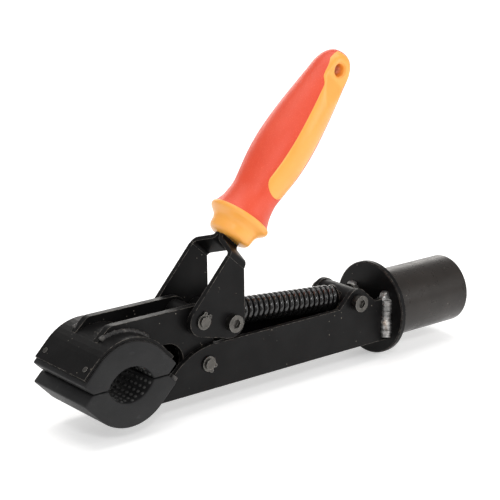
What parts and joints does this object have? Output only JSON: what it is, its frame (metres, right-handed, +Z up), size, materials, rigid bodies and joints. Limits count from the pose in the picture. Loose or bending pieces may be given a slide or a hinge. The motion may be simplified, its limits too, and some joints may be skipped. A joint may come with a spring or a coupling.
{
  "type": "toggle clamp electrode holder",
  "caption": "Hand clamp that grips a rod crosswise between two half-round insulated jaws, with a sprung over-centre lever, a two-colour grip and a flanged tail tube.",
  "frame": {"origin": "on the tail tube's axis at the flange's rear face, which is the bottom of the tube's bore", "axes": "+X along the tail tube, away from the jaws; +Y across the width, along the pivots; +Z up, towards the lever"},
  "size_m": [0.2953, 0.0578, 0.1929],
  "materials": {
    "black_steel": "semi-gloss black oxide paint with lightly worn edges",
    "tube_black": "satin brown-black",
    "weld_metal": "rippled weld bead, partly blackened",
    "jaw_insulation": "matte dark grey moulded laminate",
    "bright_steel": "grey phosphated steel",
    "spring_steel": "gloss black spring wire",
    "grip_orange": "glossy moulded plastic",
    "grip_red": "soft matte fine-grained"
  },
  "bodies": {
    "frame": {"mounting_tube": "tube_black", "mounting_flange": "black_steel", "tube_weld_ring": "weld_metal", "frame_channel": "black_steel", "channel_weld_beads": "weld_metal", "lower_jaw_saddle": "black_steel", "saddle_weld_beads": "weld_metal", "lower_jaw_pad": "jaw_insulation", "lower_pad_rivets": "bright_steel", "jaw_pivot_pin": "bright_steel", "jaw_pin_circlips": "bright_steel"},
    "jaw_arm": {"arm_plate_left": "black_steel", "arm_plate_right": "black_steel", "upper_jaw_shell": "black_steel", "upper_jaw_pad": "jaw_insulation", "upper_pad_rivets": "bright_steel", "arm_weld_beads": "weld_metal", "jaw_pin_spacer": "black_steel", "lever_pin_spacer": "black_steel", "lever_pin_washers": "bright_steel"},
    "lever": {"yoke_plate_left": "black_steel", "yoke_plate_right": "black_steel", "lever_pivot_pin": "bright_steel", "lever_pin_circlips": "bright_steel", "strut_bolt": "bright_steel", "strut_bolt_nut": "bright_steel", "grip_core": "grip_orange", "grip_sleeve": "grip_red", "grip_inlays": "grip_orange"},
    "strut": {"strut_eye": "black_steel", "guide_rod": "bright_steel", "spring_front_seat": "black_steel", "rod_stop_nut": "bright_steel", "rod_stop_washer": "bright_steel", "compression_spring": "spring_steel"},
    "trunnion": {"trunnion_barrel": "black_steel", "trunnion_screws": "bright_steel", "spring_rear_seat": "black_steel"}
  },
  "joints": [
    {"name": "lever_pivot", "type": "hinge", "parent": "jaw_arm", "child": "lever", "pos_m": [-0.1489, 0, 0.0258], "axis": [0, -1, 0], "range_deg": [0, 90]},
    {"name": "jaw_pivot", "type": "hinge", "parent": "frame", "child": "jaw_arm", "pos_m": [-0.1434, 0, -0.0006], "axis": [0, 1, 0], "range_deg": [0, 25.2]},
    {"name": "strut_pivot", "type": "hinge", "parent": "lever", "child": "strut", "pos_m": [-0.1284, 0, 0.0211], "axis": [0, 1, 0], "range_deg": [0, 78.2], "deforming": ["compression_spring"]},
    {"name": "trunnion_pivot", "type": "hinge", "parent": "frame", "child": "trunnion", "pos_m": [-0.0294, 0, 0.0122], "axis": [0, 1, 0], "range_deg": [0, 13.32]}
  ],
  "couplings": [
    {"joint": "jaw_pivot", "follows": "lever_pivot", "ratio": 0.2798},
    {"joint": "strut_pivot", "follows": "lever_pivot", "ratio": 0.86798},
    {"joint": "trunnion_pivot", "follows": "lever_pivot", "ratio": 0.14778}
  ]
}
